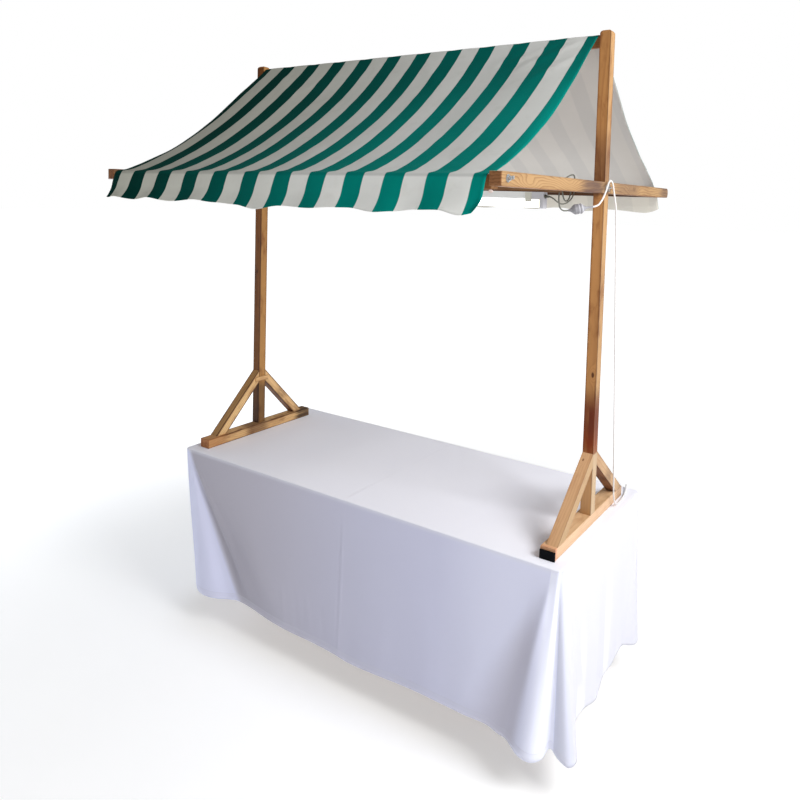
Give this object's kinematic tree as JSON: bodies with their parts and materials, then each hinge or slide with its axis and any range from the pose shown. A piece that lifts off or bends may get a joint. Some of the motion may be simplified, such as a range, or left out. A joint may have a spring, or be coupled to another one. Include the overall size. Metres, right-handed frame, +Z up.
{
  "type": "wooden market stall",
  "caption": "Table-top market stall: a timber frame on two triangular feet carries a striped ridge canopy with valances and a lamp over a cloth-covered trestle table.",
  "frame": {"origin": "on the floor, under the middle of the canopy frame", "axes": "+X to the right along the stall's length, +Y from the serving side to the back, +Z up; the serving side faces -Y"},
  "size_m": [1.836, 1.6, 2.492],
  "materials": {
    "canopy": "coated canopy cloth, green and white stripes",
    "cloth": "white tablecloth with a lavender cast, softly creased",
    "cord_dark": "dark grey flexible lead",
    "cord_white": "white flexible lead",
    "lamp_body": "light grey enamel",
    "lamp_tube": "glowing white tube",
    "plug_dark": "dark moulded connector",
    "plug_white": "white moulded plug",
    "rubber": "matt black rubber",
    "steel": "zinc-plated, satin",
    "table_wood": "plain light wood, matt",
    "wood": "torched softwood, warm honey stain, rounded edges"
  },
  "bodies": {
    "root": {"back_rail": "wood", "canopy_back": "canopy", "canopy_front": "canopy", "cloth_back": "cloth", "cloth_front": "cloth", "cloth_left": "cloth", "cloth_right": "cloth", "cloth_top": "cloth", "front_rail": "wood", "lamp_batten": "lamp_body", "lamp_clips": "steel", "lamp_gland": "cord_dark", "lamp_holder_left": "lamp_body", "lamp_holder_right": "lamp_body", "lamp_lath": "wood", "lamp_lead": "cord_dark", "lamp_tube": "lamp_tube", "lead_coupling": "plug_dark", "left_arm": "wood", "left_back_brace": "wood", "left_foot_board": "wood", "left_foot_tie": "wood", "left_front_brace": "wood", "left_post": "wood", "left_post_wing_nut": "steel", "left_rail_wing_nut": "steel", "left_trestle_beam": "table_wood", "left_trestle_leg_back": "table_wood", "left_trestle_leg_front": "table_wood", "left_trestle_stretcher": "table_wood", "long_stretcher": "table_wood", "ridge_rail": "wood", "right_arm": "wood", "right_back_brace": "wood", "right_foot_board": "wood", "right_foot_end_cap": "rubber", "right_foot_tie": "wood", "right_front_brace": "wood", "right_post": "wood", "right_post_wing_nut": "steel", "right_rail_wing_nut": "steel", "right_trestle_beam": "table_wood", "right_trestle_leg_back": "table_wood", "right_trestle_leg_front": "table_wood", "right_trestle_stretcher": "table_wood", "supply_lead": "cord_white", "supply_lead_coil": "cord_white", "supply_plug": "plug_white", "table_top": "table_wood", "valance_back": "canopy", "valance_front": "canopy"}
  },
  "joints": []
}
